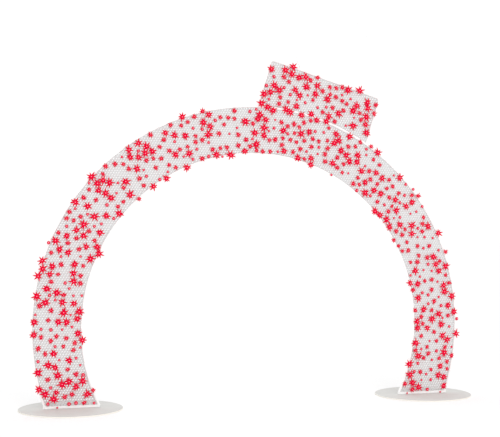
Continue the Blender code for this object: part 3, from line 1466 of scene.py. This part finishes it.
@dataclass
class Lights:
    """The red lights: the largest sit where the CAD has them, and the rest fill in between."""

    plan: ArchPlan
    net: HexNet
    seed: int = 23
    count: int = 552
    star_share: float = 0.30
    button_share: float = 0.44
    reaches: dict[LightKind, tuple[float, float]] = field(
        default_factory=lambda: {
            LightKind.STAR: (0.046, 0.062),
            LightKind.BUTTON: (0.028, 0.041),
            LightKind.DOT: (0.012, 0.0185),
        }
    )
    room: float = 0.056
    tries: int = 7
    crowding: float = 0.9
    plate_gap: float = 0.003
    foot_slice: float = 0.001

    # The lines of crowded lights: their room and spread, how many each has, and where it lies.
    run_room: float = 0.046
    run_spread: float = 0.028
    foot_run: int = 9
    joint_run: int = 10
    joint_start: float = 0.04
    joint_share: float = 1.3
    side_run: int = 7
    side_insets: tuple[float, float] = (0.05, 0.12)
    side_margins: tuple[float, float] = (0.02, 0.06)

    # The lights on the tubes: a draw below these puts one on the outer ring, the inner ring or the
    # cap's top tube, and any other draw on a side tube of the cap.
    tube_lights: int = 16
    outer_below: float = 0.56
    inner_below: float = 0.92
    top_below: float = 0.96
    tube_lean: float = 0.006
    ring_foot_room: float = 0.02
    cap_foot_room: float = 0.05
    bar_lights: int = 2
    form: Starburst = field(default_factory=Starburst)

    def build(self, materials: Sequence[bpy.types.Material]) -> None:
        """Builds one piece for each kind of light.

        Args:
            materials: One for each look, in the order of the looks.
        """
        chance = random.Random(self.seed)
        nodes = sorted(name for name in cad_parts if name.startswith("light_"))
        sites = [self._cad_site(name) for name in nodes]
        self._line_runs(sites, chance)
        self._mark_feet(sites, chance)
        self._fill(sites, chance)
        self._set_levels(sites)
        for kind in LightKind:
            mesh = LightMesh()
            mine = [site for site in sites if site.kind is kind]
            for site in mine:
                self.form.build(mesh, site, chance)
            piece = mesh.light_piece(f"{kind.value}_lights", materials)
            if kind is LightKind.STAR:
                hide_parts(*nodes)
            LOG.info("%s: %d lights, %d faces", piece.name, len(mine), len(mesh.faces))

    def _cad_site(self, name: str) -> LightSite:
        """Reads a light's place, size and turn from its CAD node.

        Args:
            name: The node's name.

        Returns:
            The light's site.
        """
        corners = np.array([corner.co[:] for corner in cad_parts[name].data.vertices])
        seat = -float(corners[:, 1].max())
        foot = corners[corners[:, 1] > -seat - self.foot_slice]
        place = foot[:, [0, 2]].mean(axis=0)
        away = corners[:, [0, 2]] - place
        far = int(np.argmax(np.hypot(away[:, 0], away[:, 1])))
        reach = float(np.hypot(*away[far]))
        return LightSite(place, seat, reach, math.atan2(away[far, 1], away[far, 0]), LightKind.STAR)

    def _run_lines(self) -> tuple[Line, Line, Line]:
        """Lays out the lines that large lights crowd along.

        Returns:
            X and Z of the places across the ring under the cap's left foot, along the cap's joint,
            and up the cap's right side.
        """
        plan = self.plan
        half_turn = math.asin(plan.cap_side_line / plan.outer_line)
        left = math.pi / 2 - plan.cap_tilt + half_turn
        across = np.linspace(plan.outer_line, plan.net_inner, self.foot_run)
        joint = np.linspace(left - self.joint_start, left - self.joint_share * half_turn, self.joint_run)
        side = plan.cap_width / 2 - np.linspace(*self.side_insets, self.side_run)
        low, high = self.side_margins
        up = np.linspace(plan.cap_foot + low, plan.cap_top - high, self.side_run)
        return (
            plan.ring_point(across, left),
            plan.ring_point(plan.outer_line, joint),
            plan.cap_point(side, up),
        )

    def _line_runs(self, sites: list[LightSite], chance: random.Random) -> None:
        """Crowds large lights along the run lines.

        Args:
            sites: The lights so far, which grow.
            chance: Where the places on each side of a line come from.
        """
        for point in np.concatenate(self._run_lines()):
            shift = tuple(chance.uniform(-self.run_spread, self.run_spread) for _ in range(2))
            self._add_site(sites, self._settle(point + shift), self.run_room, LightKind.STAR, chance)

    def _mark_feet(self, sites: list[LightSite], chance: random.Random) -> None:
        """Puts a few small lights on the front of each foot bar.

        Args:
            sites: The lights so far, which grow.
            chance: Where the places along the bar come from.
        """
        for name in ("foot_bar_left", "foot_bar_right"):
            low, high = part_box(name)
            for _ in range(self.bar_lights):
                side = chance.uniform(low.x + self.run_room, high.x - self.run_room)
                place = np.array((side, (low.z + high.z) / 2))
                self._add_site(sites, (place, self.plan.gap - low.y), self.run_room, LightKind.DOT, chance)

    def _fill(self, sites: list[LightSite], chance: random.Random) -> None:
        """Throws some lights at the tubes, and then at the nets until there are enough.

        Args:
            sites: The lights so far, which grow.
            chance: Where the places come from.
        """
        for _ in range(self.tube_lights):
            self._add_site(sites, self._throw_at_tube(chance), self.room, self._draw_kind(chance), chance)
        while len(sites) < self.count:
            seats = [self._throw_at_net(chance) for _ in range(self.tries)]
            taken = np.array([site.place for site in sites])
            seat = max(seats, key=lambda seat: float(np.hypot(*(taken - seat[0]).T).min()))
            self._add_site(sites, seat, self.room, self._draw_kind(chance), chance)

    def _draw_kind(self, chance: random.Random) -> LightKind:
        """Draws a light's kind, in the shares that the kinds have.

        Args:
            chance: Where the draw comes from.

        Returns:
            The kind.
        """
        draw = chance.random()
        if draw < self.star_share:
            return LightKind.STAR
        return LightKind.BUTTON if draw < self.star_share + self.button_share else LightKind.DOT

    def _add_site(
        self,
        sites: list[LightSite],
        seat: Seat | None,
        room: float,
        kind: LightKind,
        chance: random.Random,
    ) -> None:
        """Adds a light where there is something to carry it and room for it.

        Args:
            sites: The lights so far.
            seat: X and Z of its place and how far in front of the plane its seat is, or nothing.
            room: How far it must be from every other light.
            kind: Its kind, which becomes the smallest where the base plate is too close for its rays.
            chance: Where its size and turn come from.
        """
        if seat is None:
            return
        place, depth = seat
        if any(math.dist(site.place, place) < room for site in sites):
            return
        head_room = place[1] - self.plan.plate_top - self.plate_gap
        reach = chance.uniform(*self.reaches[kind])
        if reach > head_room:
            kind, reach = LightKind.DOT, min(head_room, self.reaches[LightKind.DOT][1])
        sites.append(LightSite(place, depth, reach, chance.uniform(0.0, 2 * math.pi), kind))

    def _on_net(self, point: np.ndarray) -> bool:
        """Whether a point is on one of the nets, inside its hem."""
        depth = max(float(self.plan.band_depth(point)), float(self.plan.cap_depth(point)))
        return depth > self.net.hem_width

    def _settle(self, point: np.ndarray) -> Seat | None:
        """Finds what can carry a light near a point.

        Args:
            point: X and Z.

        Returns:
            X and Z on the nearest knot, or else on the outer tube, and how far in front of the
            plane the seat is, or nothing where neither is near.
        """
        plan = self.plan
        knot = self.net.nearest_knot(point)
        if self._on_net(knot):
            return knot, self.net.hem_thickness / 2
        away = float(plan.from_centre(point))
        if abs(away - plan.outer_line) < plan.tube:
            centre = np.array((0.0, plan.ring_height))
            return centre + (point - centre) * plan.outer_line / away, plan.tube + plan.gap
        return None

    def _throw_at_net(self, chance: random.Random) -> Seat:
        """Draws places in the arch's own square until one is on a net, and settles it there.

        Args:
            chance: Where the places come from.

        Returns:
            X and Z, and how far in front of the plane the seat is.
        """
        reach = self.plan.net_outer
        top = self.plan.ring_height + self.plan.cap_top
        seat = None
        while seat is None:
            point = np.array((chance.uniform(-reach, reach), chance.uniform(0.0, top)))
            if self._on_net(point):
                seat = self._settle(point)
        return seat

    def _throw_at_tube(self, chance: random.Random) -> Seat:
        """Draws a place on a ring tube, or on the cap's top or side tube.

        Args:
            chance: Where the place comes from.

        Returns:
            X and Z, and how far in front of the plane the seat is.
        """
        plan = self.plan
        draw = chance.random()
        lean = chance.uniform(0.0, self.tube_lean)
        if draw < self.inner_below:
            line = plan.outer_line + lean if draw < self.outer_below else plan.inner_line - lean
            foot = plan.foot_angle(line, plan.foot_level) - self.ring_foot_room
            place = plan.ring_point(line, chance.uniform(-foot, math.pi + foot))
        elif draw < self.top_below:
            side = chance.uniform(-1.0, 1.0) * (plan.cap_side_line - plan.cap_bend)
            place = plan.cap_point(side, plan.cap_top_line + lean)
        else:
            reach = chance.uniform(plan.cap_foot + self.cap_foot_room, plan.cap_top)
            place = plan.cap_point(chance.choice((-1, 1)) * (plan.cap_side_line + lean), reach)
        return place, plan.tube + plan.gap

    def _set_levels(self, sites: list[LightSite]) -> None:
        """Lets a light whose rays would run into a neighbour's stand a little further out.

        Args:
            sites: All lights, whose levels are set.
        """
        for place, site in enumerate(sites):
            near = [
                other.level
                for other in sites[:place]
                if np.hypot(*(other.place - site.place)) < self.crowding * (other.reach + site.reach)
            ]
            site.level = next(level for level in range(len(near) + 1) if level not in near)


@dataclass
class BasePlates:
    """The two round plates that the arch stands on."""

    nodes: tuple[str, str] = ("base_plate_left", "base_plate_right")

    def dress(self, coat: bpy.types.Material) -> None:
        """Gives both plates their textured coat."""
        for name in self.nodes:
            dress_node(name, coat)


@dataclass
class Studio:
    """The pale floor, the soft light and the camera."""

    floor_size: float = 400.0
    sky: Colour = (1.0, 1.0, 1.0)
    sky_strength: float = 1.04
    lamp_place: tuple[float, float, float] = (2.0, -15.0, 5.0)
    lamp_aim: tuple[float, float, float] = (0.0, 0.0, 1.6)
    lamp_size: float = 9.0
    lamp_watts: float = 400.0
    eye: tuple[float, float, float] = (-2.801, -10.278, 1.680)
    eye_turn: float = -0.2617
    eye_rise: float = 0.0157
    lens: float = 75.8

    def build(self, floor_finish: bpy.types.Material) -> None:
        """Sets the scene's floor, world, lamp and camera.

        Args:
            floor_finish: The floor's material.
        """
        self._lay_floor(floor_finish)
        self._light_sky()
        self._hang_lamp()
        self._set_camera()

    def _lay_floor(self, finish: bpy.types.Material) -> None:
        """Lays the floor at the level that the base plates stand on.

        Args:
            finish: Its material.
        """
        half = self.floor_size / 2
        mesh = bpy.data.meshes.new("floor")
        corners = [(x * half, y * half, 0.0) for x, y in ((-1, -1), (1, -1), (1, 1), (-1, 1))]
        mesh.from_pydata(corners, [], [(0, 1, 2, 3)])
        mesh.materials.append(finish)
        floor = bpy.data.objects.new("floor", mesh)
        bpy.context.scene.collection.objects.link(floor)

    def _light_sky(self) -> None:
        """Fills the room with even white light."""
        world = bpy.data.worlds.new("studio")
        world.use_nodes = True
        background = world.node_tree.nodes["Background"]
        background.inputs["Color"].default_value = (*self.sky, 1.0)
        background.inputs["Strength"].default_value = self.sky_strength
        bpy.context.scene.world = world
        bpy.context.scene.view_settings.view_transform = "Standard"

    def _hang_lamp(self) -> None:
        """Hangs one large soft lamp in front and above, which isn't seen itself."""
        lamp = bpy.data.lights.new("soft_lamp", "AREA")
        lamp.shape = "DISK"
        lamp.size = self.lamp_size
        lamp.energy = self.lamp_watts
        holder = bpy.data.objects.new("soft_lamp", lamp)
        holder.visible_camera = False
        holder.location = self.lamp_place
        aim = Vector(self.lamp_aim) - holder.location
        holder.rotation_euler = aim.to_track_quat("-Z", "Y").to_euler()
        bpy.context.scene.collection.objects.link(holder)

    def _set_camera(self) -> None:
        """Stands the camera where the photograph was taken from."""
        data = bpy.data.cameras.new("camera")
        data.lens = self.lens
        data.clip_end = self.floor_size
        camera = bpy.data.objects.new("camera", data)
        camera.location = self.eye
        camera.rotation_euler = (math.pi / 2 + self.eye_rise, 0.0, self.eye_turn)
        bpy.context.scene.collection.objects.link(camera)
        bpy.context.scene.camera = camera


def main() -> None:
    """Builds the studio and each part of the arch in order."""
    logging.basicConfig(level=logging.INFO, format="%(name)s %(message)s")
    plan = ArchPlan()
    plan.check_frame()
    Studio().build(FloorPaper().build())
    BasePlates().dress(PlateCoat().build())
    TubeFrame(plan).dress(PowderCoat().build())
    nets = Nets(plan)
    cord = NetFinish().build()
    arch_net = nets.arch_net()
    arch_net.build(cord)
    nets.cap_net().build(cord)
    finishes = {
        Look.PLASTIC: GlowPlastic(),
        Look.DOME: LedDome(),
        Look.STEM: StemPlastic(),
        Look.FROSTED: FrostedPlastic(),
    }
    Lights(plan, arch_net).build([finishes[look].build() for look in Look])


if __name__ == "__main__":
    main()
